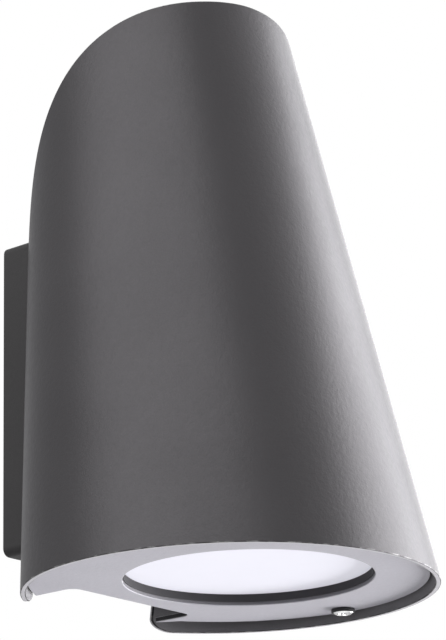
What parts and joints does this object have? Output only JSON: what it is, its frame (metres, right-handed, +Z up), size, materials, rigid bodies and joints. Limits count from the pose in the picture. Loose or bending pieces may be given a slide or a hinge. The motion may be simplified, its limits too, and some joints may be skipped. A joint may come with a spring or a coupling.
{
  "type": "wall downlight",
  "caption": "Outdoor wall light: a dark tapered hood, open behind, over a slim wall box, with a round opal lens facing down in a grey cover plate.",
  "frame": {"origin": "middle of the wall box's wall face, midway between the wall screws", "axes": "+Z up, -Y out from the wall towards the front of the hood, +X to the right seen from the front"},
  "size_m": [0.1488, 0.156, 0.2186],
  "materials": {
    "hood_paint": "satin graphite powder coat",
    "box_paint": "matt graphite powder coat",
    "plate_paint": "light grey powder coat",
    "opal": "opal white",
    "lamp_opal": "opal white",
    "lamp_white": "white moulding",
    "holder_white": "white moulding",
    "black_rubber": "matt",
    "grey_foam": "closed-cell foam",
    "zinc": "zinc plated",
    "stainless": "bright stainless",
    "bare_aluminium": "mill finish",
    "board": "white coated circuit board",
    "brass": "plain",
    "terminal_plastic": "natural moulding",
    "brown_wire": "insulation",
    "blue_wire": "insulation",
    "earth_wire": "insulation"
  },
  "bodies": {
    "base": {"hood": "hood_paint", "hood_cap": "hood_paint", "hood_tab_left": "hood_paint", "hood_tab_right": "hood_paint", "tab_nuts": "zinc", "peg_clip": "stainless", "shelf_screws": "zinc", "wall_box": "box_paint", "wall_gasket": "grey_foam", "cable_grommet": "black_rubber", "box_lid": "box_paint", "lid_seal": "black_rubber", "lid_screws": "zinc", "lid_grommets": "black_rubber", "terminal_block": "terminal_plastic", "terminal_clamps": "brass", "terminal_screws": "zinc", "terminal_fixings": "zinc", "earth_lead": "earth_wire", "earth_tag": "brass", "earth_screw": "zinc", "lamp_bracket": "bare_aluminium", "bracket_screws": "zinc", "lamp_holder": "holder_white", "holder_contacts": "brass", "holder_screws": "zinc", "holder_nuts": "zinc", "lead_live": "brown_wire", "lead_neutral": "blue_wire"},
    "cover": {"lens_plate": "plate_paint", "plate_studs": "zinc", "cover_peg": "stainless", "lens_gasket": "black_rubber", "lens": "opal", "lens_ring": "bare_aluminium", "ring_nuts": "zinc"},
    "screw": {"cover_screw": "stainless"},
    "lamp": {"lamp_body": "lamp_white", "lamp_front": "lamp_opal", "lamp_board": "board", "lamp_pins": "brass"}
  },
  "joints": [
    {"name": "cover_drop", "type": "slide", "parent": "base", "child": "cover", "axis": [0, 0, -1], "range_m": [0, 0.06]},
    {"name": "screw_turn", "type": "hinge", "parent": "cover", "child": "screw", "pos_m": [0.0655, -0.08263, -0.0783], "axis": [0, 0, 1], "continuous": true},
    {"name": "lamp_twist", "type": "hinge", "parent": "base", "child": "lamp", "pos_m": [0, -0.08903, -0.0485], "axis": [0, 0, 1], "range_deg": [0, 18]}
  ]
}
